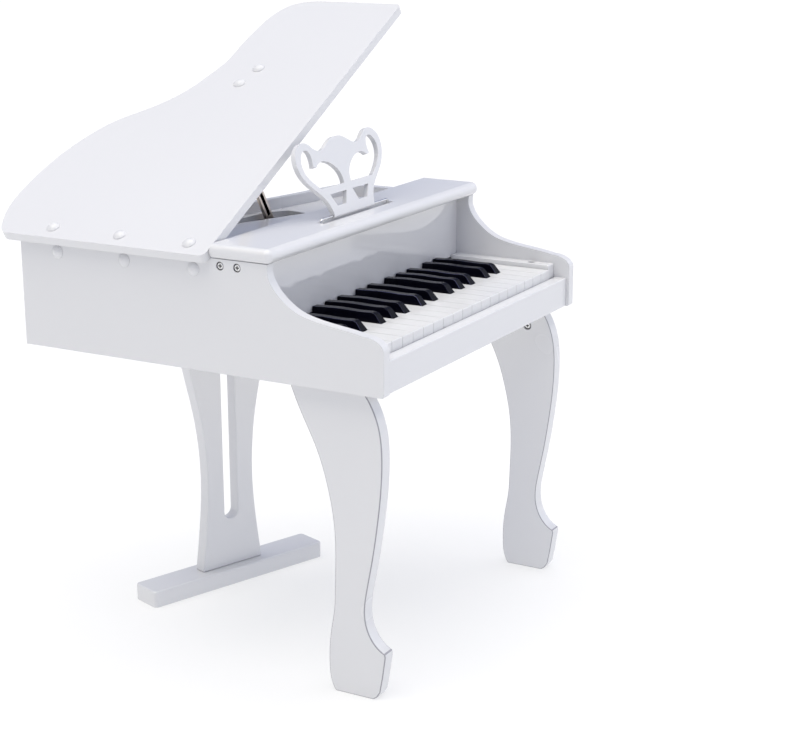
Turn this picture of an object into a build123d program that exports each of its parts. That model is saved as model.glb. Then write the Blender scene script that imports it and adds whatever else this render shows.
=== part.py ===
from build123d import *
import math
import os

# Miniature grand piano, a child-size toy. Millimetres, +Z up.
# The case is laid out about its own centre line: X to the player's right, Y away from the player,
# with Y = 0 at the front edges of the cheeks and Z = 0 on the floor.
# At the end every piece is shifted so that the origin is the centre of the whole on the floor.

ORIGIN_X = -4.78
ORIGIN_Y = 269.15

# Case
CASE_HALF = 250.0
PANEL_T = 13.0
INNER_HALF = CASE_HALF - PANEL_T
CASE_BOTTOM = 366.4
RIM = 500.0
LEFT_PANEL_LENGTH = 498.0
BACK_T = 8.0
FLOOR_T = 8.0
FLOOR_TOP = CASE_BOTTOM + FLOOR_T
DECK_TOP = 485.0
DECK_T = 8.0

# Front of the case
RAIL_FRONT = 4.0
RAIL_BACK = 20.2
RAIL_TOP = 404.0
FALL_FRONT = 165.0
FALL_T = 12.0
FALL_BOTTOM = 419.0
BOARD_T = 17.0
BOARD_FRONT = 141.0
BOARD_BACK = 221.0
BOARD_HALF = 255.0

# Keyboard
KEY_PITCH = 24.39
KEY_GAP = 0.8
KEY_FRONT = 20.9
KEY_END = 200.0
KEY_TOP = 416.1
KEY_BASE = 402.0
KEY_WALL = 2.4
KEY_PIVOT_Y = 192.0
KEY_PIVOT_Z = 408.0
KEY_ROD_R = 2.0
WHITE_COUNT = 18
SHARP_FRONT = 70.5
SHARP_SLOPE = 8.5
SHARP_END = 164.0
SHARP_TOP = 427.2
SHARP_HALF = 6.5
SHARP_TOP_HALF = 4.6
SHARP_SHIFT = {"C": -2.5, "D": 2.0, "F": -4.0, "G": 0.0, "A": 4.0}
WHITE_NOTES = "CDEFGAB"
BLOCK_TOP = 422.0
BLOCK_FRONT = 22.0
BLOCK_IN = 219.9

# Lid and its hinges
LID_OPEN = 28.5
LID_T = 11.0
HINGE_X = -247.0
HINGE_Z = 502.0
LID_EDGE = 9.0
LID_FRONT = 222.5
LID_LIP = 5.0
LID_HINGE_CORNER = 8.0
LID_FREE_CORNER = 5.0
LID_WIDTH = 509.5
HINGE_ROWS = (250.0, 347.5, 445.3)
LEAF_HALF = 14.0
LEAF_T = 1.2
KNUCKLE_R = 2.4
HINGE_PIN_R = 1.25
CAP_R = 8.0
CAP_RIM = 0.8
CAP_DOME = 3.4
CAP_STEM_R = 2.5
CAP_ROW_SHIFT = 3.0
LID_CAP_X = 4.6
PANEL_CAP_Z = 485.0

# Lid stay
STAY_PIVOT_X = 260.9
STAY_DROP = 10.0
STAY_Y = 355.9
STAY_WIDTH = 13.0
STAY_T = 5.0
STAY_LENGTH = 172.0
STAY_SLOPE = 58.3
STAY_PIN_R = 2.5
BRACKET_CAPS = ((309.5, 361.0), (343.4, 351.4))

# Music stand
STAND_X = -15.0
STAND_Y = 176.0
STAND_T = 6.0
STAND_LEAN = 17.0
STAND_PIVOT_Z = RIM + BOARD_T + STAND_T / 2 + 0.3
STAND_WIRE_R = 1.5
STAND_WIRE_HALF = 79.8
SLOT_X = -10.2
SLOT_HALF = 82.8
SLOT_FRONT = 169.0
SLOT_BACK = 179.5

# Legs
LEG_T = 18.0
BAR_LENGTH = 276.2
BAR_DEPTH = 46.0
BAR_H = 22.0
BAR_X = -5.8
BAR_Y = 377.5
BAR_TURN = -19.5
REAR_LEG_SHIFT = -3.5

# Screws
SCREW_HEAD_R = 4.2
SCREW_HEAD_H = 1.8
SCREW_R = 1.75
SCREW_LENGTH = 14.0
SCREW_SINK = 2.4
SCREW_POCKET_R = 5.0

OPEN_LID = Location((HINGE_X, 0, HINGE_Z), (0, -LID_OPEN, 0))


def box(x0, x1, y0, y1, z0, z1):
    """A box given by its two limits on each axis."""
    middle = ((x0 + x1) / 2, (y0 + y1) / 2, (z0 + z1) / 2)
    return Pos(*middle) * Box(x1 - x0, y1 - y0, z1 - z0)


def rod_x(x0, x1, y, z, radius):
    """A round rod along X."""
    return Pos((x0 + x1) / 2, y, z) * Rot(0, 90, 0) * Cylinder(radius, x1 - x0)


def rod_y(y0, y1, x, z, radius):
    """A round rod along Y."""
    return Pos(x, (y0 + y1) / 2, z) * Rot(90, 0, 0) * Cylinder(radius, y1 - y0)


def plate_yz(edges, x0, x1):
    """A plate from an outline drawn in the YZ plane at x0, running to x1."""
    return extrude(make_face(edges), x1 - x0, dir=(1, 0, 0))


def group(solids):
    """Several separate solids that share one node."""
    return Compound(children=list(solids))


# ---------------------------------------------------------------- case boards


def back_curves():
    """Outer and inner line of the bent back, seen from above, running past both its ends."""
    points = [
        (-250, 497),
        (-215, 500),
        (-165, 500),
        (-108, 491),
        (-60, 471),
        (-21, 440),
        (10, 413),
        (56, 388),
        (111.6, 371.8),
        (167.9, 360.2),
        (262, 340.5),
    ]
    outer = Spline([(x, y, CASE_BOTTOM) for x, y in points])
    inner_points = []
    steps = 24
    for step in range(steps + 1):
        place = outer @ (step / steps)
        along = outer % (step / steps)
        inner_points.append((place.X + along.Y * BACK_T, place.Y - along.X * BACK_T, CASE_BOTTOM))
    return outer, Spline(inner_points)


def back_panel_solid(outer, inner):
    edges = [outer, inner, Line(outer @ 0, inner @ 0), Line(outer @ 1, inner @ 1)]
    strip = extrude(make_face(edges), RIM - CASE_BOTTOM, dir=(0, 0, 1))
    keep = box(-INNER_HALF, CASE_HALF, 300, 520, CASE_BOTTOM - 5, RIM + 5)
    return strip & keep


def beyond_back(inner):
    """Everything behind the inner face of the back, for trimming the boards that meet it."""
    inner = Pos(0, -0.05, 0) * inner
    corners = [inner @ 1, (300, 335, CASE_BOTTOM), (300, 700, CASE_BOTTOM), (-300, 700, CASE_BOTTOM)]
    corners = corners + [(-300, 488, CASE_BOTTOM), inner @ 0]
    face = make_face([inner, Polyline(*corners)])
    solid = extrude(face, 160, dir=(0, 0, 1))
    return Pos(0, 0, -10) * solid


def side_panel(x0, x1, back_y):
    """A side board whose front end is the low cheek beside the keys."""

    def at(y, z):
        return (x0, y, z)

    front = Polyline(at(147, RIM), at(back_y, RIM), at(back_y, CASE_BOTTOM), at(2, CASE_BOTTOM))
    toe = Polyline(at(2, CASE_BOTTOM), at(0, CASE_BOTTOM + 2), at(0, 414))
    nose = Spline([at(0, 414), at(3.5, 425.5), at(13, 431), at(25, 433)])
    cheek = Spline([at(25, 433), at(60, 438.4), at(90, 443.2), at(112, 450.2), at(127, 460), at(137, 469.4),
                    at(145, 481), at(147, RIM)])
    panel = plate_yz([front, toe, nose, cheek], x0, x1)
    return panel


def screw():
    """A cross-head screw whose head sits in a pocket just under Z = 0, its shank below."""
    head = extrude(Circle(SCREW_HEAD_R), SCREW_HEAD_H)
    rim_edges = head.edges().group_by(Axis.Z)[-1]
    head = fillet(rim_edges, 1.2)
    recess = Box(4.6, 1.0, 1.8) + Box(1.0, 4.6, 1.8)
    shank = Pos(0, 0, -SCREW_LENGTH / 2) * Cylinder(SCREW_R, SCREW_LENGTH)
    tip = Pos(0, 0, -SCREW_LENGTH) * Cylinder(SCREW_R, 0.01)
    whole = head - Pos(0, 0, SCREW_HEAD_H) * recess + shank - tip
    return Pos(0, 0, -SCREW_SINK) * whole


def screw_hole(place):
    """The hole for a screw's shank and the wider pocket for its head."""
    shank = Pos(0, 0, -SCREW_SINK - SCREW_LENGTH / 2) * Cylinder(SCREW_R, SCREW_LENGTH)
    pocket = Pos(0, 0, 0.5 - SCREW_SINK / 2) * Cylinder(SCREW_POCKET_R, SCREW_SINK + 1)
    return place * (shank + pocket)


def cap():
    """A low domed cap above Z = 0; the stem is added by the caller."""
    ball_r = (CAP_R ** 2 + CAP_DOME ** 2) / (2 * CAP_DOME)
    ball = Pos(0, 0, CAP_RIM + CAP_DOME - ball_r) * Sphere(ball_r)
    dome = ball & box(-CAP_R, CAP_R, -CAP_R, CAP_R, CAP_RIM, CAP_RIM + CAP_R)
    return dome + extrude(Circle(CAP_R), CAP_RIM)


SCREW_PLACES = []
for side in (-1, 1):
    for row in (187.7, 210.6):
        SCREW_PLACES.append(Location((side * CASE_HALF, row, 492), (0, side * 90, 0)))
    SCREW_PLACES.append(Location((side * 230, 51, BLOCK_TOP)))
    SCREW_PLACES.append(Location((side * (INNER_HALF - LEG_T), 50.4, 338.2), (0, -side * 90, 0)))


def drilled(solid):
    """The solid with the holes of the case screws taken out."""
    for place in SCREW_PLACES:
        solid = solid - screw_hole(place)
    return solid


# ---------------------------------------------------------------- legs


def front_leg(x0):
    """A flat leg: broad shoulder, narrow ankle and a toe that points at the player."""

    def at(y, z):
        return (x0, y, z)

    shin = Spline([at(34, CASE_BOTTOM), at(22, 348), at(15, 330), at(10.4, 290), at(12.3, 250), at(17.2, 210),
                   at(23.6, 170), at(31.5, 130), at(34.5, 104), at(29.3, 80), at(17, 64), at(8.5, 59)])
    toe = Polyline(at(8.5, 59), at(7.5, 55), at(11.5, 28), at(15, 10), at(19, 3.5), at(24, 0), at(74, 0))
    heel = Spline([at(74, 0), at(80, 12), at(82.2, 30), at(81.4, 60), at(78.6, 80), at(75.2, 100), at(73.5, 130),
                   at(72.5, 170), at(74.5, 210), at(82.2, 250), at(95, 290), at(114.5, 330),
                   at(129.5, CASE_BOTTOM)])
    top = Line(at(129.5, CASE_BOTTOM), at(34, CASE_BOTTOM))
    return plate_yz([shin, toe, heel, top], x0, x0 + LEG_T)


def bar_place():
    return Location((BAR_X, BAR_Y, 0), (0, 0, BAR_TURN))


def rear_foot_bar():
    bar = box(-BAR_LENGTH / 2, BAR_LENGTH / 2, -BAR_DEPTH / 2, BAR_DEPTH / 2, 0, BAR_H)
    bar = fillet(bar.edges().filter_by(Axis.Z), 6)
    bar = fillet(bar.edges().group_by(Axis.Z)[-1], 2.5)
    return bar_place() * bar


def rear_leg():
    """A lyre-shaped board: two flaring prongs that meet in a foot."""

    def half(sign):
        points = [(48, BAR_H), (44.5, 48), (39, 95), (36.3, 145), (38, 185), (41, 212), (47, 245), (53.5, 273),
                  (61, 305), (78, CASE_BOTTOM)]
        return Spline([(REAR_LEG_SHIFT + sign * s, 0, z) for s, z in points])

    left = half(-1)
    right = half(1)
    gap = 10.7
    low = 87.0
    gap_left = Line((REAR_LEG_SHIFT - gap, 0, CASE_BOTTOM), (REAR_LEG_SHIFT - gap, 0, low + gap))
    gap_arc = ThreePointArc((REAR_LEG_SHIFT - gap, 0, low + gap), (REAR_LEG_SHIFT, 0, low),
                            (REAR_LEG_SHIFT + gap, 0, low + gap))
    gap_right = Line((REAR_LEG_SHIFT + gap, 0, low + gap), (REAR_LEG_SHIFT + gap, 0, CASE_BOTTOM))
    sole = Line(left @ 0, right @ 0)
    top_left = Line(left @ 1, gap_left @ 0)
    top_right = Line(gap_right @ 1, right @ 1)
    face = make_face([left, right, sole, top_left, gap_left, gap_arc, gap_right, top_right])
    board = extrude(face, LEG_T, dir=(0, 1, 0))
    return bar_place() * Pos(0, -LEG_T / 2, 0) * board


# ---------------------------------------------------------------- keyboard


def boundary(index):
    """X of the joint on the right of white key number index + 1, where index 0 is the first joint."""
    return (index + 1 - WHITE_COUNT / 2) * KEY_PITCH


def note_of(index):
    return WHITE_NOTES[index % 7]


def sharp_centres():
    """For each joint that carries a black key, its number and the X of the key."""
    found = {}
    for index in range(WHITE_COUNT - 1):
        note = note_of(index)
        if note in SHARP_SHIFT:
            found[index] = boundary(index) + SHARP_SHIFT[note]
    return found


SHARPS = sharp_centres()


def white_key(index):
    """A hollow white key, notched for the black keys beside it and bored for the key rod."""
    left = boundary(index - 1) + KEY_GAP / 2
    right = boundary(index) - KEY_GAP / 2
    tail_left = left
    tail_right = right
    reach = SHARP_HALF + KEY_GAP
    if index - 1 in SHARPS:
        tail_left = SHARPS[index - 1] + reach
    if index in SHARPS:
        tail_right = SHARPS[index] - reach
    notch = SHARP_FRONT - KEY_GAP
    head = box(left, right, KEY_FRONT, notch, KEY_BASE, KEY_TOP)
    tail = box(tail_left, tail_right, notch - 1, KEY_END, KEY_BASE, KEY_TOP)
    key = head + tail
    nose = key.edges().filter_by(Axis.X).group_by(Axis.Y)[0].sort_by(Axis.Z)[-1]
    key = fillet(nose, 1.2)
    roof = KEY_TOP - KEY_WALL
    key = key - box(left + KEY_WALL, right - KEY_WALL, KEY_FRONT + KEY_WALL, notch - KEY_WALL, KEY_BASE - 1, roof)
    key = key - box(tail_left + KEY_WALL, tail_right - KEY_WALL, notch - 4, KEY_PIVOT_Y - 8, KEY_BASE - 1, roof)
    return key - rod_x(left - 5, right + 5, KEY_PIVOT_Y, KEY_PIVOT_Z, KEY_ROD_R + 0.06)


def black_key(centre):
    """A tall black key with a sloping front, an arched top and a low tail under the fallboard."""

    def at(y, z):
        return (centre - SHARP_HALF, y, z)

    low = KEY_BASE + 2
    front = Polyline(at(KEY_PIVOT_Y - 8, low), at(SHARP_FRONT, low), at(SHARP_FRONT, KEY_TOP - 1),
                     at(SHARP_FRONT + SHARP_SLOPE, SHARP_TOP - 1.8))
    top = Spline([at(SHARP_FRONT + SHARP_SLOPE, SHARP_TOP - 1.8),
                  at(SHARP_FRONT + SHARP_SLOPE + 2.5, SHARP_TOP - 0.5), at(SHARP_FRONT + 20, SHARP_TOP),
                  at(SHARP_FRONT + 55, SHARP_TOP + 0.3), at(SHARP_END, SHARP_TOP - 1.2)])
    back = Polyline(at(SHARP_END, SHARP_TOP - 1.2), at(SHARP_END, KEY_TOP - 0.6), at(KEY_END, KEY_TOP - 0.6),
                    at(KEY_END, KEY_BASE), at(KEY_PIVOT_Y - 8, KEY_BASE), at(KEY_PIVOT_Y - 8, low))
    body = plate_yz([front, top, back], centre - SHARP_HALF, centre + SHARP_HALF)
    waist = KEY_TOP + 1
    ends = Polyline((centre - SHARP_HALF, 60, KEY_BASE - 1), (centre - SHARP_HALF, 60, waist),
                    (centre - SHARP_TOP_HALF, 60, SHARP_TOP + 1), (centre + SHARP_TOP_HALF, 60, SHARP_TOP + 1),
                    (centre + SHARP_HALF, 60, waist), (centre + SHARP_HALF, 60, KEY_BASE - 1),
                    (centre - SHARP_HALF, 60, KEY_BASE - 1))
    section = extrude(make_face([ends]), 150, dir=(0, 1, 0))
    body = body & section
    return body - rod_x(centre - 10, centre + 10, KEY_PIVOT_Y, KEY_PIVOT_Z, KEY_ROD_R + 0.06)


def keyboard_chassis():
    """The tray under the keys, with a front stop rail, a rear rail and two posts for the key rod."""
    half = BLOCK_IN - 0.6
    tray = box(-half, half, RAIL_BACK + 3, 180, FLOOR_TOP, FLOOR_TOP + 4)
    tray = tray + box(-half, half, 44, 64, FLOOR_TOP, 395)
    tray = tray + box(-231, 231, 180, 205, FLOOR_TOP, 399)
    for side in (-1, 1):
        near = min(side * 220.6, side * 231)
        tray = tray + box(near, near + 10.4, 183, 201, 399, 415)
    return tray - rod_x(-240, 240, KEY_PIVOT_Y, KEY_PIVOT_Z, KEY_ROD_R)


# ---------------------------------------------------------------- lid and fittings


def lid_solid():
    """The lid lying flat: hinge axis at the zero of X and Z, its underside on Z = 0."""

    def at(along, y):
        return (along - LID_EDGE, y, 0)

    right = LID_WIDTH
    left = -LID_LIP
    wave = Spline([at(13, 525.5), at(32, 533), at(50, 537), at(68.5, 538.3), at(107, 536), at(146, 529.3),
                   at(188, 514.4), at(225, 491.6), at(252, 462.6), at(277, 440.4), at(305, 424.3),
                   at(335, 413.9), at(364, 406.5), at(400, 405.8), at(438, 403.2), at(477, 395.3),
                   at(498, 381), at(507, 361), at(right, 335)])
    corner = Spline([at(left, 507), at(1, 518.5), at(13, 525.5)], tangents=[(0, 1, 0), wave % 0])
    edges = [wave, corner, Polyline(at(right, 335), at(right, LID_FRONT), at(left, LID_FRONT), at(left, 507))]
    board = extrude(make_face(edges), LID_T, dir=(0, 0, 1))
    hinge_corner = board.edges().filter_by(Axis.Z).group_by(Axis.Y)[0].sort_by(Axis.X)[0]
    board = fillet(hinge_corner, LID_HINGE_CORNER)
    free_corner = board.edges().filter_by(Axis.Z).group_by(Axis.Y)[0].sort_by(Axis.X)[-1]
    return fillet(free_corner, LID_FREE_CORNER)


def lid_leaf(row):
    """The lid's half of a hinge, let into the underside of the lid."""
    plate = box(1.0, 22, row - LEAF_HALF, row + LEAF_HALF, 0, LEAF_T)
    web = box(0, 2, row - 4.6, row + 4.6, 0, LEAF_T)
    barrel = rod_y(row - 4.6, row + 4.6, 0, 0, KNUCKLE_R)
    leaf = plate + web + barrel
    reach = rod_y(row + 4.6, row + LEAF_HALF + 1, 0, 0, KNUCKLE_R + 0.4)
    reach = reach + rod_y(row - LEAF_HALF - 1, row - 4.6, 0, 0, KNUCKLE_R + 0.4)
    leaf = leaf - reach
    leaf = leaf - rod_y(row - 20, row + 20, 0, 0, HINGE_PIN_R + 0.05)
    hole = Pos(LID_CAP_X, row + CAP_ROW_SHIFT, 0) * Cylinder(CAP_STEM_R, 10)
    return leaf - hole


def case_leaf(row):
    """The case's half of a hinge: over the top edge of the side panel and down its inner face."""
    top = box(HINGE_X, -INNER_HALF + LEAF_T, row - LEAF_HALF, row + LEAF_HALF, RIM, RIM + LEAF_T)
    down = box(-INNER_HALF, -INNER_HALF + LEAF_T, row - LEAF_HALF, row + LEAF_HALF, 476, RIM + LEAF_T)
    leaf = top + down
    for side in (-1, 1):
        y0 = min(row + side * 5, row + side * LEAF_HALF)
        leaf = leaf + rod_y(y0, y0 + LEAF_HALF - 5, HINGE_X, HINGE_Z, KNUCKLE_R)
    leaf = leaf - rod_y(row - 5, row + 5, HINGE_X, HINGE_Z, KNUCKLE_R + 0.4)
    leaf = leaf - rod_y(row - 20, row + 20, HINGE_X, HINGE_Z, HINGE_PIN_R)
    return leaf - rod_x(-INNER_HALF - 1, -INNER_HALF + 3, row - CAP_ROW_SHIFT, PANEL_CAP_Z, CAP_STEM_R)


def knuckle_space(row):
    return rod_y(row - LEAF_HALF - 0.5, row + LEAF_HALF + 0.5, 0, 0, KNUCKLE_R + 0.4)


def lid_cap(along, y):
    stem = Pos(0, 0, -LID_T / 2) * Cylinder(CAP_STEM_R, LID_T)
    return Pos(along, y, LID_T) * (cap() + stem)


def panel_cap(row):
    depth = PANEL_T + LEAF_T
    stem = Pos(0, 0, -depth / 2) * Cylinder(CAP_STEM_R, depth)
    return Location((-CASE_HALF, row - CAP_ROW_SHIFT, PANEL_CAP_Z), (0, -90, 0)) * (cap() + stem)


def stay_bracket():
    """A plate let into the lid, with one ear that carries the stay's pivot pin."""
    low = STAY_PIVOT_X - 9
    plate = box(low, 352, 346, 366, 0, 2)
    ear_y = STAY_Y - STAY_T / 2 - 2.4
    ear = box(STAY_PIVOT_X - 6, STAY_PIVOT_X + 6, ear_y, ear_y + 2, -STAY_DROP, 1)
    ear = ear + rod_y(ear_y, ear_y + 2, STAY_PIVOT_X, -STAY_DROP, 6)
    pin_end = STAY_Y + STAY_T / 2 + 1.6
    pin = rod_y(ear_y, pin_end, STAY_PIVOT_X, -STAY_DROP, STAY_PIN_R)
    head = rod_y(pin_end - 1.2, pin_end, STAY_PIVOT_X, -STAY_DROP, 4)
    bracket = plate + ear + pin + head
    for along, y in BRACKET_CAPS:
        bracket = bracket - Pos(along, y, 0) * Cylinder(CAP_STEM_R, 10)
    return bracket


def stay_pivot():
    """Where the stay's pivot is when the lid stands open, as X and Z."""
    turn = math.radians(LID_OPEN)
    x = HINGE_X + STAY_PIVOT_X * math.cos(turn) + STAY_DROP * math.sin(turn)
    z = HINGE_Z + STAY_PIVOT_X * math.sin(turn) - STAY_DROP * math.cos(turn)
    return x, z


def stay_bar():
    """A round-ended steel bar with a pressed groove down each face."""
    half = STAY_WIDTH / 2
    reach = STAY_LENGTH - half
    bar = box(0, reach, -STAY_T / 2, STAY_T / 2, -half, half)
    bar = bar + rod_y(-STAY_T / 2, STAY_T / 2, 0, 0, half) + rod_y(-STAY_T / 2, STAY_T / 2, reach, 0, half)
    for side in (-1, 1):
        face = side * STAY_T / 2
        bar = bar - box(14, reach - 8, face - 1.3, face + 1.3, -2.6, 2.6)
    bar = bar - rod_y(-9, 9, 0, 0, STAY_PIN_R + 0.08)
    x, z = stay_pivot()
    return Location((x, STAY_Y, z), (0, STAY_SLOPE, 0)) * bar


def stay_catch():
    """A bent strip under the deck; the foot of the stay leans against its sloping end."""
    x, z = stay_pivot()
    slope = math.radians(STAY_SLOPE)
    reach = STAY_LENGTH - STAY_WIDTH / 2
    foot_x = x + reach * math.cos(slope)
    foot_z = z - reach * math.sin(slope)
    lean = math.radians(64)
    away = STAY_WIDTH / 2 + 0.3
    face_x = foot_x + away * math.sin(lean)
    face_z = foot_z - away * math.cos(lean)
    top = DECK_TOP - DECK_T
    run = (top - face_z) / math.tan(lean)
    drop = 9.0
    t = 1.6
    low_x = face_x - drop / math.tan(lean)
    low_z = face_z - drop
    y0 = STAY_Y - 4
    points = [(face_x + run, top), (111, top), (111, top - t), (face_x + run + t, top - t),
              (low_x + t, low_z), (low_x, low_z), (face_x + run, top)]
    outline = Polyline(*[(px, y0, pz) for px, pz in points])
    return extrude(make_face([outline]), 8, dir=(0, 1, 0))


# ---------------------------------------------------------------- music stand


def music_stand():
    """A pierced board: two scrolled wings and a crest over a waisted foot."""

    def at(sign, across, up):
        return (sign * across, 0, up)

    crest = 91.5
    outline = []
    for sign in (-1, 1):
        wing = Spline([at(sign, 47.5, 3), at(sign, 49.5, 9.5), at(sign, 56, 20), at(sign, 69.5, 32),
                       at(sign, 84.5, 43.5), at(sign, 94.5, 55.5), at(sign, 98.5, 67.5), at(sign, 97, 79),
                       at(sign, 88.5, 88.5), at(sign, 76, 92.3), at(sign, 64, 89), at(sign, 54, 82),
                       at(sign, 44, 79), at(sign, 33, 80.5), at(sign, 22, 86), at(sign, 11, 90.3),
                       at(sign, 0, crest)])
        outline.append(wing)
        outline.append(Line(at(sign, 47.5, 3), at(sign, 47.5, 0)))
    outline.append(Line(at(-1, 47.5, 0), at(1, 47.5, 0)))
    board = extrude(make_face(outline), STAND_T, dir=(0, 1, 0))
    for sign in (-1, 1):
        arch = Spline([at(sign, 8, 34.5), at(sign, 10, 46.7), at(sign, 20, 57.5), at(sign, 35, 64.7),
                       at(sign, 50, 65.3), at(sign, 59, 60.5)])
        tip = Line(at(sign, 59, 60.5), at(sign, 65.5, 61.5))
        scroll = Spline([at(sign, 65.5, 61.5), at(sign, 64, 72), at(sign, 67.5, 81), at(sign, 76, 83),
                         at(sign, 85, 77), at(sign, 88, 64.5), at(sign, 79, 48.8), at(sign, 60, 34.5)])
        sill = Line(at(sign, 60, 34.5), at(sign, 8, 34.5))
        window = Polyline(at(sign, 7, 25.5), at(sign, 45, 25.5), at(sign, 35, 10.5), at(sign, 15, 10.5),
                          at(sign, 7, 25.5))
        for piece in ([arch, tip, scroll, sill], [window]):
            cut = extrude(make_face(piece), 30, dir=(0, 1, 0))
            board = board - Pos(0, -10, 0) * cut
    board = Pos(0, -STAND_T / 2, 0) * board
    board = board + rod_x(-47.5, 47.5, 0, 0, STAND_T / 2)
    board = board - rod_x(-60, 60, 0, 0, STAND_WIRE_R + 0.08)
    return Location((STAND_X, STAND_Y, STAND_PIVOT_Z), (-STAND_LEAN, 0, 0)) * board


def stand_wire():
    """One wire that is the stand's hinge rod, its ends bent down into the top board."""
    low = RIM + BOARD_T - 10
    half = STAND_WIRE_HALF
    bend = 4.0
    path = Polyline((-half, 0, low), (-half, 0, STAND_PIVOT_Z - bend))
    path = path + ThreePointArc((-half, 0, STAND_PIVOT_Z - bend),
                                (-half + bend * (1 - math.sqrt(0.5)), 0, STAND_PIVOT_Z - bend * (1 - math.sqrt(0.5))),
                                (-half + bend, 0, STAND_PIVOT_Z))
    path = path + Line((-half + bend, 0, STAND_PIVOT_Z), (half - bend, 0, STAND_PIVOT_Z))
    path = path + ThreePointArc((half - bend, 0, STAND_PIVOT_Z),
                                (half - bend * (1 - math.sqrt(0.5)), 0, STAND_PIVOT_Z - bend * (1 - math.sqrt(0.5))),
                                (half, 0, STAND_PIVOT_Z - bend))
    path = path + Line((half, 0, STAND_PIVOT_Z - bend), (half, 0, low))
    wire = sweep(Plane(origin=(-half, 0, low), z_dir=(0, 0, 1)) * Circle(STAND_WIRE_R), path=path)
    return Pos(SLOT_X, STAND_Y, 0) * wire


def top_board():
    """The thick board over the fallboard, half-round along its front and ends, slotted for the stand."""
    board = box(-BOARD_HALF, BOARD_HALF, BOARD_FRONT, BOARD_BACK, RIM, RIM + BOARD_T)
    corners = board.edges().filter_by(Axis.Z).group_by(Axis.Y)[0]
    board = fillet(corners, 9)
    back_y = BOARD_BACK - 0.5
    rounded = []
    for level in (board.edges().group_by(Axis.Z)[0], board.edges().group_by(Axis.Z)[-1]):
        for edge in level:
            if edge.center().Y < back_y:
                rounded.append(edge)
    board = fillet(rounded, BOARD_T / 2 - 0.1)
    slot = box(SLOT_X - SLOT_HALF, SLOT_X + SLOT_HALF, SLOT_FRONT, SLOT_BACK, RIM + BOARD_T - 4, 600)
    board = board - slot
    for side in (-1, 1):
        x = SLOT_X + side * STAND_WIRE_HALF
        board = board - Pos(x, STAND_Y, RIM + BOARD_T - 5) * Cylinder(STAND_WIRE_R, 10)
    return board


def fallboard():
    """The upright board behind the keys and the batten on its back that the top board is fixed to."""
    face = box(-INNER_HALF, INNER_HALF, FALL_FRONT, FALL_FRONT + FALL_T, FALL_BOTTOM, RIM)
    batten = box(-INNER_HALF, INNER_HALF, FALL_FRONT + FALL_T, 219, DECK_TOP, RIM)
    return face + batten


def inner_deck(behind):
    """The board inside the rim, with a well for the lid stay."""
    deck = box(-INNER_HALF, INNER_HALF, FALL_FRONT + FALL_T, 520, DECK_TOP - DECK_T, DECK_TOP) - behind
    z = DECK_TOP - DECK_T - 1
    points = [(98.5, 315.5), (1, 352.4), (-62, 352.4), (-62, 376), (62, 366), (80, 365), (104, 346),
              (98.5, 315.5)]
    well = extrude(make_face([Polyline(*[(x, y, z) for x, y in points])]), DECK_T + 2, dir=(0, 0, 1))
    deck = deck - well
    for row in HINGE_ROWS:
        deck = deck - box(-INNER_HALF - 1, -INNER_HALF + 4, row - 16, row + 16, 470, 490)
    return deck


def loudspeaker():
    """A round loudspeaker lying face up on the case floor."""
    basket = Cylinder(38, 3) + Pos(0, 0, -8) * Cone(22, 34, 14)
    magnet = Pos(0, 0, -19) * Cylinder(20, 8)
    dish = Pos(0, 0, 2) * Cone(14, 33, 8)
    dome = Pos(0, 0, -2.5) * Cylinder(10, 3)
    return Pos(-110, 285, FLOOR_TOP + 23) * (basket + magnet - dish + dome)


# ---------------------------------------------------------------- all the nodes


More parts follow.
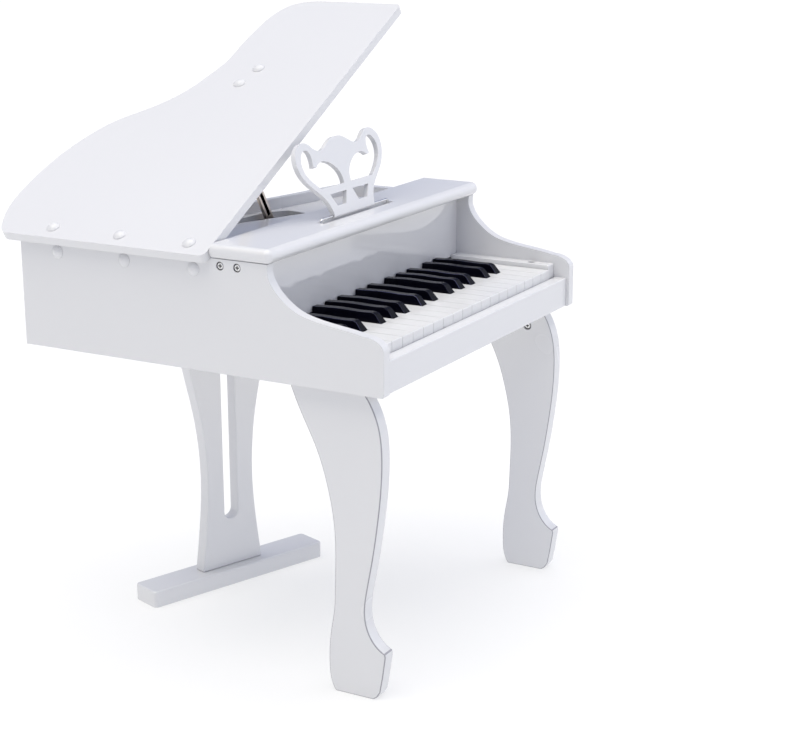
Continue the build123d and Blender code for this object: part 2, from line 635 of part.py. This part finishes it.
def build_nodes():
    nodes = {}
    outer, inner = back_curves()
    behind = beyond_back(inner)

    nodes["back_panel"] = back_panel_solid(outer, inner)
    left = side_panel(-CASE_HALF, -INNER_HALF, LEFT_PANEL_LENGTH)
    for row in HINGE_ROWS:
        left = left - Pos(HINGE_X, 0, HINGE_Z) * knuckle_space(row)
        left = left - rod_x(-CASE_HALF - 1, -INNER_HALF + 1, row - CAP_ROW_SHIFT, PANEL_CAP_Z, CAP_STEM_R)
    nodes["left_side_panel"] = drilled(left)
    nodes["right_side_panel"] = drilled(side_panel(INNER_HALF, CASE_HALF, 345) - behind)
    nodes["bottom_panel"] = box(-INNER_HALF, INNER_HALF, RAIL_BACK, 520, CASE_BOTTOM, FLOOR_TOP) - behind
    rail = box(-INNER_HALF, INNER_HALF, RAIL_FRONT, RAIL_BACK, CASE_BOTTOM, RAIL_TOP)
    rail = fillet(rail.edges().filter_by(Axis.X).group_by(Axis.Y)[0], 1.5)
    nodes["front_rail"] = rail
    nodes["top_board"] = top_board()
    nodes["fallboard"] = drilled(fallboard())
    nodes["inner_deck"] = inner_deck(behind)
    for name, x0, x1 in (("left_key_block", -INNER_HALF, -BLOCK_IN), ("right_key_block", BLOCK_IN, INNER_HALF)):
        block = box(x0, x1, BLOCK_FRONT, FALL_FRONT - 0.4, FLOOR_TOP, BLOCK_TOP)
        nose = block.edges().filter_by(Axis.X).group_by(Axis.Y)[0].sort_by(Axis.Z)[-1]
        nodes[name] = drilled(fillet(nose, 3))

    nodes["left_front_leg"] = drilled(front_leg(-INNER_HALF))
    nodes["right_front_leg"] = drilled(front_leg(INNER_HALF - LEG_T))
    nodes["rear_leg"] = rear_leg()
    nodes["rear_foot_bar"] = rear_foot_bar()

    nodes["keyboard_chassis"] = keyboard_chassis()
    nodes["key_rod"] = rod_x(-231, 231, KEY_PIVOT_Y, KEY_PIVOT_Z, KEY_ROD_R)
    for index in range(WHITE_COUNT):
        nodes[f"white_key_{index + 1:02d}"] = white_key(index)
    for number, index in enumerate(sorted(SHARPS)):
        nodes[f"black_key_{number + 1:02d}"] = black_key(SHARPS[index])
    nodes["contact_board"] = box(-205, 205, 96, 150, FLOOR_TOP + 4, FLOOR_TOP + 5.6)
    nodes["loudspeaker"] = loudspeaker()

    nodes["case_screws"] = group([place * screw() for place in SCREW_PLACES])
    nodes["panel_caps"] = group([panel_cap(row) for row in HINGE_ROWS])
    nodes["case_hinge_leaves"] = group([case_leaf(row) for row in HINGE_ROWS])
    pins = [rod_y(row - LEAF_HALF, row + LEAF_HALF, HINGE_X, HINGE_Z, HINGE_PIN_R) for row in HINGE_ROWS]
    nodes["hinge_pins"] = group(pins)
    nodes["stay_catch"] = stay_catch()

    lid = lid_solid()
    caps = []
    leaves = []
    for row in HINGE_ROWS:
        lid = lid - knuckle_space(row)
        lid = lid - box(0, 22, row - LEAF_HALF, row + LEAF_HALF, -1, LEAF_T)
        caps.append((LID_CAP_X, row + CAP_ROW_SHIFT))
        leaves.append(OPEN_LID * lid_leaf(row))
    lid = lid - box(STAY_PIVOT_X - 9, 352, 346, 366, -1, 2)
    caps = caps + list(BRACKET_CAPS)
    for along, y in caps:
        lid = lid - Pos(along, y, LID_T / 2) * Cylinder(CAP_STEM_R, LID_T + 2)
    nodes["lid"] = OPEN_LID * lid
    nodes["lid_hinge_leaves"] = group(leaves)
    nodes["lid_caps"] = group([OPEN_LID * lid_cap(along, y) for along, y in caps])
    nodes["stay_bracket"] = OPEN_LID * stay_bracket()
    nodes["stay_bar"] = stay_bar()

    nodes["music_stand"] = music_stand()
    nodes["stand_wire"] = stand_wire()
    return nodes


os.makedirs("parts", exist_ok=True)
shift = Pos(-ORIGIN_X, -ORIGIN_Y, 0)
for name, shape in build_nodes().items():
    placed = shift * shape
    placed.label = name
    export_step(placed, f"parts/{name}.step")
    size = placed.bounding_box()
    print(name, [round(v, 2) for v in (*size.min, *size.max)], len(placed.solids()))
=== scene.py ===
import math

import bmesh
import bpy
from mathutils import Matrix, Vector


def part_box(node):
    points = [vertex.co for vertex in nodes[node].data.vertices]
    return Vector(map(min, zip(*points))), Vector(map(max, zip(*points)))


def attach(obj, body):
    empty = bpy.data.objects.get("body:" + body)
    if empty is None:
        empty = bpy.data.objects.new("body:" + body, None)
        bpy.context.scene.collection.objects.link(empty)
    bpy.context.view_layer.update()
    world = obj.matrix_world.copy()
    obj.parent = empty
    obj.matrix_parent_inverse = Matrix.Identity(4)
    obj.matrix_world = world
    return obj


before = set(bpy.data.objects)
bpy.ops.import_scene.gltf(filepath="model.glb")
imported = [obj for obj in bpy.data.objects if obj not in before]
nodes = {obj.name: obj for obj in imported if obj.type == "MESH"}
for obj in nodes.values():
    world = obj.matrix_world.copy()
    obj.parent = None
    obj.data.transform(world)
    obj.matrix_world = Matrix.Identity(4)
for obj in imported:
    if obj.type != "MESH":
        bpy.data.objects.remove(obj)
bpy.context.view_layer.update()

WHITE_KEYS = [name for name in nodes if name.startswith("white_key_")]
BLACK_KEYS = [name for name in nodes if name.startswith("black_key_")]


# ---------------------------------------------------------------- materials


def new_material(name):
    """An empty node material, its node tree and its Principled shader."""
    material = bpy.data.materials.new(name)
    material.use_nodes = True
    tree = material.node_tree
    shader = tree.nodes["Principled BSDF"]
    return material, tree, shader


def object_noise(tree, scale, detail=3.0, roughness=0.5, stretch=(1.0, 1.0, 1.0)):
    """Noise laid over the piece in its own coordinates; the scale is per metre."""
    place = tree.nodes.new("ShaderNodeTexCoord")
    mapping = tree.nodes.new("ShaderNodeMapping")
    mapping.inputs["Scale"].default_value = stretch
    noise = tree.nodes.new("ShaderNodeTexNoise")
    noise.inputs["Scale"].default_value = scale
    noise.inputs["Detail"].default_value = detail
    noise.inputs["Roughness"].default_value = roughness
    tree.links.new(place.outputs["Object"], mapping.inputs["Vector"])
    tree.links.new(mapping.outputs["Vector"], noise.inputs["Vector"])
    return noise


def ramp_between(tree, source, low, high, start=0.35, end=0.65):
    """A colour ramp from one colour or grey to another, driven by a noise."""
    ramp = tree.nodes.new("ShaderNodeValToRGB")
    ramp.color_ramp.elements[0].position = start
    ramp.color_ramp.elements[1].position = end
    ramp.color_ramp.elements[0].color = low
    ramp.color_ramp.elements[1].color = high
    tree.links.new(source, ramp.inputs["Fac"])
    return ramp


def add_bump(tree, shader, source, strength, distance):
    """Fine relief on a shader, driven by a noise; the distance is in metres."""
    bump = tree.nodes.new("ShaderNodeBump")
    bump.inputs["Strength"].default_value = strength
    bump.inputs["Distance"].default_value = distance
    tree.links.new(source, bump.inputs["Height"])
    tree.links.new(bump.outputs["Normal"], shader.inputs["Normal"])


def grey(value, tint=(1.0, 1.0, 1.0)):
    """A grey of that value, multiplied by a tint, with full alpha."""
    return (value * tint[0], value * tint[1], value * tint[2], 1.0)


def lacquer(name, light, tint, rough_low, rough_high, coat, peel):
    """Sprayed lacquer on board: faint colour drift, uneven gloss and a trace of orange peel."""
    material, tree, shader = new_material(name)
    drift = object_noise(tree, 4.0, 0.0)
    dull = grey(light * 0.98, tint)
    bright = grey(light * 1.01, tint)
    colour = ramp_between(tree, drift.outputs["Fac"], dull, bright, 0.0, 1.0)
    tree.links.new(colour.outputs["Color"], shader.inputs["Base Color"])
    haze = object_noise(tree, 14.0, 0.0)
    gloss = ramp_between(tree, haze.outputs["Fac"], grey(rough_low), grey(rough_high), 0.0, 1.0)
    tree.links.new(gloss.outputs["Color"], shader.inputs["Roughness"])
    skin = object_noise(tree, 420.0, 1.0, 0.4)
    add_bump(tree, shader, skin.outputs["Fac"], peel, 0.0002)
    shader.inputs["IOR"].default_value = 1.5
    shader.inputs["Coat Weight"].default_value = coat
    shader.inputs["Coat Roughness"].default_value = 0.06
    return material


def plastic(name, low, high, rough_low, rough_high, grain_scale, grain, coat=0.0, shine=0.5):
    """Moulded plastic: slight mottling, uneven gloss and a fine moulded grain."""
    material, tree, shader = new_material(name)
    drift = object_noise(tree, 35.0, 4.0)
    colour = ramp_between(tree, drift.outputs["Fac"], low, high)
    tree.links.new(colour.outputs["Color"], shader.inputs["Base Color"])
    haze = object_noise(tree, 90.0, 4.0)
    gloss = ramp_between(tree, haze.outputs["Fac"], grey(rough_low), grey(rough_high))
    tree.links.new(gloss.outputs["Color"], shader.inputs["Roughness"])
    skin = object_noise(tree, grain_scale, 2.0)
    add_bump(tree, shader, skin.outputs["Fac"], grain, 0.0002)
    shader.inputs["Coat Weight"].default_value = coat
    shader.inputs["Coat Roughness"].default_value = 0.05
    shader.inputs["Specular IOR Level"].default_value = shine
    return material


def metal(name, low, high, rough_low, rough_high, stretch, grain):
    """Plated steel with a drawn grain along one direction."""
    material, tree, shader = new_material(name)
    lines = object_noise(tree, 60.0, 6.0, 0.65, stretch)
    colour = ramp_between(tree, lines.outputs["Fac"], low, high)
    tree.links.new(colour.outputs["Color"], shader.inputs["Base Color"])
    gloss = ramp_between(tree, lines.outputs["Fac"], grey(rough_low), grey(rough_high))
    tree.links.new(gloss.outputs["Color"], shader.inputs["Roughness"])
    add_bump(tree, shader, lines.outputs["Fac"], grain, 0.0002)
    shader.inputs["Metallic"].default_value = 1.0
    return material


COOL = (0.99, 0.99, 1.0)
WARM = (1.0, 1.0, 0.995)
NAVY = (0.8, 0.85, 2.2)
DARK_BRONZE = (0.78, 0.68, 0.58, 1)
PALE_BRONZE = (0.94, 0.85, 0.76, 1)
body_white = lacquer("white_lacquer", 0.745, COOL, 0.24, 0.28, 0.3, 0.004)
gloss_white = lacquer("white_lacquer_polished", 0.745, COOL, 0.03, 0.05, 0.8, 0.002)
lid_white = lacquer("white_lacquer_lid", 0.755, COOL, 0.2, 0.24, 0.35, 0.004)
# White lacquer darkened to a bluish grey for the rounded edges of the side panels and front legs: painted
# shade and painted dark reflection, not a second paint.
painted_edge_shade = lacquer("white_lacquer_painted_edge_shade", 0.36, (0.96, 0.95, 1.02), 0.24, 0.3, 0.2, 0.004)
key_white = plastic("key_white", grey(0.75, WARM), grey(0.765, WARM), 0.18, 0.26, 500.0, 0.03)
key_black = plastic("key_black", grey(0.002, NAVY), grey(0.0032, NAVY), 0.16, 0.26, 420.0, 0.03, 0.0, 0.06)
# Lighter black for the rounded edges of the black keys: a painted highlight.
key_black_painted_highlight = plastic("key_black_painted_highlight", grey(0.03, NAVY), grey(0.05, NAVY), 0.2, 0.32, 420.0, 0.03)
cap_white = plastic("cap_white", grey(0.74, COOL), grey(0.76, COOL), 0.22, 0.3, 600.0, 0.04)
dark_plastic = plastic("dark_plastic", grey(0.02), grey(0.035), 0.45, 0.6, 700.0, 0.15)
board_green = plastic("board_green", (0.02, 0.09, 0.04, 1), (0.03, 0.12, 0.05, 1), 0.3, 0.45, 300.0, 0.1)
paper_black = plastic("paper_black", grey(0.015), grey(0.03), 0.7, 0.85, 900.0, 0.3)
steel = metal("steel", grey(0.5), grey(0.66), 0.22, 0.36, (1.0, 0.06, 1.0), 0.08)
bright_steel = metal("bright_steel", grey(0.62), grey(0.78), 0.1, 0.22, (1.0, 1.0, 0.1), 0.04)
stay_steel = metal("stay_steel", DARK_BRONZE, PALE_BRONZE, 0.28, 0.4, (0.3, 1.0, 1.0), 0.06)

FINISH = {
    "fallboard": gloss_white,
    "top_board": lid_white,
    "lid": lid_white,
    "keyboard_chassis": dark_plastic,
    "key_rod": steel,
    "contact_board": board_green,
    "loudspeaker": paper_black,
    "case_screws": bright_steel,
    "panel_caps": cap_white,
    "case_hinge_leaves": steel,
    "hinge_pins": steel,
    "stay_catch": steel,
    "lid_hinge_leaves": steel,
    "lid_caps": cap_white,
    "stay_bracket": steel,
    "stay_bar": stay_steel,
    "stand_wire": bright_steel,
}
for name in WHITE_KEYS:
    FINISH[name] = key_white
for name in BLACK_KEYS:
    FINISH[name] = key_black


# ---------------------------------------------------------------- edges of the CAD pieces


def soften(piece, width, edge=None, segments=3, angle=32.0):
    """Rounds a piece's edges: joins its split corners, merges its flat facets, then bevels and reshades.

    An edge material, where one is given, covers the rounded strip alone; in this script each one is painted
    shade or a painted highlight on that strip.
    """
    weld = piece.modifiers.new("weld", "WELD")
    weld.merge_threshold = 0.00001
    flat = piece.modifiers.new("flat", "DECIMATE")
    flat.decimate_type = "DISSOLVE"
    flat.angle_limit = math.radians(0.3)
    bevel = piece.modifiers.new("bevel", "BEVEL")
    bevel.width = width
    bevel.segments = segments
    bevel.limit_method = "ANGLE"
    bevel.angle_limit = math.radians(angle)
    bevel.harden_normals = False
    bevel.miter_outer = "MITER_ARC"
    if edge:
        piece.data.materials.append(edge)
        bevel.material = len(piece.data.materials) - 1
    shade = piece.modifiers.new("shade", "WEIGHTED_NORMAL")
    shade.keep_sharp = False
    shade.weight = 60


EDGE = {
    "left_side_panel": 0.0024,
    "right_side_panel": 0.0024,
    "back_panel": 0.0015,
    "bottom_panel": 0.0008,
    "front_rail": 0.0008,
    "fallboard": 0.0006,
    "inner_deck": 0.0012,
    "left_key_block": 0.0008,
    "right_key_block": 0.0008,
    "left_front_leg": 0.003,
    "right_front_leg": 0.003,
    "rear_leg": 0.0022,
    "rear_foot_bar": 0.001,
    "lid": 0.004,
    "music_stand": 0.0012,
    "top_board": 0.0005,
    "stay_bar": 0.0004,
    "stay_bracket": 0.0003,
}
# Materials painted on the rounded strips alone: painted shade on the side panels and front legs, a painted
# highlight on the black keys.
EDGE_PAINTED_SHADE_AND_HIGHLIGHT = {
    "left_side_panel": painted_edge_shade,
    "right_side_panel": painted_edge_shade,
    "left_front_leg": painted_edge_shade,
    "right_front_leg": painted_edge_shade,
}
for name in WHITE_KEYS:
    EDGE[name] = 0.0005
for name in BLACK_KEYS:
    EDGE[name] = 0.0006
    EDGE_PAINTED_SHADE_AND_HIGHLIGHT[name] = key_black_painted_highlight

for name, piece in nodes.items():
    piece.data.materials.clear()
    piece.data.materials.append(FINISH.get(name, body_white))
    if name in EDGE:
        soften(piece, EDGE[name], EDGE_PAINTED_SHADE_AND_HIGHLIGHT.get(name))


# ---------------------------------------------------------------- painted shade rings round the screw heads and painted shade in their cross sockets

SHADE_RING_IN = 0.004
SHADE_RING_OUT = 0.00495
SOCKET_REACH = 0.0024
SOCKET_HALF = 0.0007
# Near-black stuff for the rings and crosses below, which are painted shade in the screw pockets and cross
# sockets.
painted_shade_black = plastic("painted_shade_black", grey(0.006), grey(0.012), 0.3, 0.45, 900.0, 0.1)


def separate_solids(piece):
    """The corner points of each separate solid in a piece."""
    work = bmesh.new()
    work.from_mesh(piece.data)
    bmesh.ops.remove_doubles(work, verts=work.verts, dist=0.00001)
    unseen = set(work.verts)
    solids = []
    for first in work.verts:
        if first not in unseen:
            continue
        unseen.discard(first)
        island = [first]
        for corner in island:
            for edge in corner.link_edges:
                other = edge.other_vert(corner)
                if other in unseen:
                    unseen.discard(other)
                    island.append(other)
        solids.append([corner.co.copy() for corner in island])
    work.free()
    return solids


def crown_place(points):
    """The middle of a screw's crown, with Z pointing out of the head along the shank's axis."""
    low = Vector([min(point[i] for point in points) for i in range(3)])
    high = Vector([max(point[i] for point in points) for i in range(3)])
    middle = (low + high) / 2
    along = max(range(3), key=lambda i: high[i] - low[i])
    head = []
    for point in points:
        reach = point - middle
        reach[along] = 0.0
        if reach.length > 0.003:
            head.append(point[along])
    outward = Vector((0.0, 0.0, 0.0))
    outward[along] = 1.0 if sum(head) / len(head) > middle[along] else -1.0
    crown = middle.copy()
    crown[along] = high[along] if outward[along] > 0 else low[along]
    return Matrix.Translation(crown) @ outward.to_track_quat("Z", "Y").to_matrix().to_4x4()


def shade_ring(place, steps=32):
    """Points and faces of a flat dark ring round a screw's head, between the head and its pocket: painted
    shade in the pocket.
    """
    section = [(SHADE_RING_IN, 0.0005), (SHADE_RING_OUT, 0.0004), (SHADE_RING_OUT, 0.0012), (SHADE_RING_IN, 0.0012)]
    points = []
    faces = []
    for i in range(steps):
        turn = 2 * math.pi * i / steps
        for radius, depth in section:
            points.append(place @ Vector((radius * math.cos(turn), radius * math.sin(turn), -depth)))
        following = (i + 1) % steps
        for k in range(4):
            m = (k + 1) % 4
            faces.append((4 * i + k, 4 * i + m, 4 * following + m, 4 * following + k))
    return points, faces


def socket_shade(place):
    """Points and faces of a dark plus shape on a screw's crown: painted shade in its cross socket."""
    outline = []
    for quarter in range(4):
        cos = round(math.cos(quarter * math.pi / 2))
        sin = round(math.sin(quarter * math.pi / 2))
        for x, y in ((SOCKET_HALF, SOCKET_HALF), (SOCKET_HALF, SOCKET_REACH), (-SOCKET_HALF, SOCKET_REACH)):
            outline.append((x * cos - y * sin, x * sin + y * cos))
    count = len(outline)
    points = [place @ Vector((x, y, 0.00003)) for x, y in outline]
    points += [place @ Vector((x, y, -0.0003)) for x, y in outline]
    faces = [tuple(range(count)), tuple(reversed(range(count, 2 * count)))]
    for i in range(count):
        following = (i + 1) % count
        faces.append((i, following, count + following, count + i))
    return points, faces


def case_fitting(name, shapes, material):
    """One closed mesh piece on the case, from several lists of points and faces."""
    points = []
    faces = []
    for shape_points, shape_faces in shapes:
        start = len(points)
        points.extend(shape_points)
        for face in shape_faces:
            faces.append(tuple(start + i for i in face))
    mesh = bpy.data.meshes.new(name)
    mesh.from_pydata(points, [], faces)
    work = bmesh.new()
    work.from_mesh(mesh)
    bmesh.ops.recalc_face_normals(work, faces=work.faces)
    work.to_mesh(mesh)
    work.free()
    mesh.materials.append(material)
    piece = bpy.data.objects.new(name, mesh)
    bpy.context.scene.collection.objects.link(piece)
    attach(piece, "case")


crowns = [crown_place(points) for points in separate_solids(nodes["case_screws"])]
# Painted shade: a dark ring round each screw head and a dark cross on each crown.
case_fitting("screw_shade_rings", [shade_ring(crown) for crown in crowns], painted_shade_black)
case_fitting("screw_socket_shade", [socket_shade(crown) for crown in crowns], painted_shade_black)


# ---------------------------------------------------------------- floor, light and camera


def plane(name, size, z):
    """A level square sheet, used for the floor."""
    mesh = bpy.data.meshes.new(name)
    half = size / 2
    corners = [(-half, -half, z), (half, -half, z), (half, half, z), (-half, half, z)]
    mesh.from_pydata(corners, [], [(0, 1, 2, 3)])
    piece = bpy.data.objects.new(name, mesh)
    bpy.context.scene.collection.objects.link(piece)
    return piece


FLOOR_SIZE = 80.0
FLOOR_GLOW = 0.57
floor = plane("floor", FLOOR_SIZE, 0.0)
floor_paint, floor_tree, floor_shader = new_material("floor_paint")
floor_drift = object_noise(floor_tree, 2.0)
floor_colour = ramp_between(floor_tree, floor_drift.outputs["Fac"], grey(0.39), grey(0.4))
floor_tree.links.new(floor_colour.outputs["Color"], floor_shader.inputs["Base Color"])
floor_shader.inputs["Roughness"].default_value = 0.9
floor_shader.inputs["Specular IOR Level"].default_value = 0.1
floor_shader.inputs["Emission Color"].default_value = (1.0, 1.0, 1.0, 1.0)
floor_shader.inputs["Emission Strength"].default_value = FLOOR_GLOW
floor.data.materials.append(floor_paint)

world = bpy.data.worlds.new("studio")
world.use_nodes = True
bpy.context.scene.world = world
sky_nodes = world.node_tree.nodes
sky_links = world.node_tree.links
sky_place = sky_nodes.new("ShaderNodeTexCoord")
sky_split = sky_nodes.new("ShaderNodeSeparateXYZ")
sky_fade = sky_nodes.new("ShaderNodeValToRGB")
horizon, zenith = sky_fade.color_ramp.elements
horizon.position = 0.02
horizon.color = (1.0, 1.0, 1.0, 1.0)
zenith.position = 0.14
zenith.color = (0.31, 0.35, 0.5, 1.0)
sky_links.new(sky_place.outputs["Generated"], sky_split.inputs["Vector"])
sky_links.new(sky_split.outputs["Z"], sky_fade.inputs["Fac"])
sky_links.new(sky_fade.outputs["Color"], sky_nodes["Background"].inputs["Color"])
sky_nodes["Background"].inputs["Strength"].default_value = 1.0


def far_softbox(name, direction, strength, spread, colour):
    """A very large, very soft light far away on the side that direction points to."""
    lamp = bpy.data.lights.new(name, "SUN")
    lamp.energy = strength
    lamp.angle = math.radians(spread)
    lamp.color = colour
    piece = bpy.data.objects.new(name, lamp)
    piece.rotation_mode = "QUATERNION"
    piece.rotation_quaternion = Vector(direction).to_track_quat("Z", "Y")
    bpy.context.scene.collection.objects.link(piece)


far_softbox("overhead", (-0.06, -0.02, 1.0), 2.36, 70.0, (1.04, 1.0, 0.93))
far_softbox("high_left", (-0.6, 0.3, 0.8), 0.42, 60.0, (1.05, 0.95, 0.5))
far_softbox("low_left", (-1.0, 0.1, 0.25), 0.06, 60.0, (1.0, 0.95, 0.95))
far_softbox("right_front", (0.7, -0.7, 0.3), 0.58, 60.0, (0.98, 1.0, 1.0))

camera_data = bpy.data.cameras.new("camera")
camera = bpy.data.objects.new("camera", camera_data)
bpy.context.scene.collection.objects.link(camera)
bpy.context.scene.camera = camera
SENSOR_WIDTH = 36.0
FOCAL_LENGTH = 82.046
camera_data.sensor_width = SENSOR_WIDTH
camera_data.lens = FOCAL_LENGTH
camera_data.clip_start = 0.05
camera_data.clip_end = 200.0

case_low, case_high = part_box("left_side_panel")
TARGET = case_low + Vector((0.4254, 0.2199, -0.0993))
AZIMUTH = math.radians(-60.72)
ELEVATION = math.radians(15.578)
ROLL = math.radians(-0.2)
DISTANCE = 2.4565
back = Vector((
    math.sin(AZIMUTH) * math.cos(ELEVATION),
    -math.cos(AZIMUTH) * math.cos(ELEVATION),
    math.sin(ELEVATION),
))
side = Vector((math.cos(AZIMUTH), math.sin(AZIMUTH), 0.0))
above = back.cross(side)
right = side * math.cos(ROLL) + above * math.sin(ROLL)
up = above * math.cos(ROLL) - side * math.sin(ROLL)
place = Matrix((
    (right.x, up.x, back.x, 0.0),
    (right.y, up.y, back.y, 0.0),
    (right.z, up.z, back.z, 0.0),
    (0.0, 0.0, 0.0, 1.0),
))
camera.matrix_world = Matrix.Translation(TARGET + back * DISTANCE) @ place

bpy.context.scene.view_settings.view_transform = "Standard"
bpy.context.scene.view_settings.look = "None"
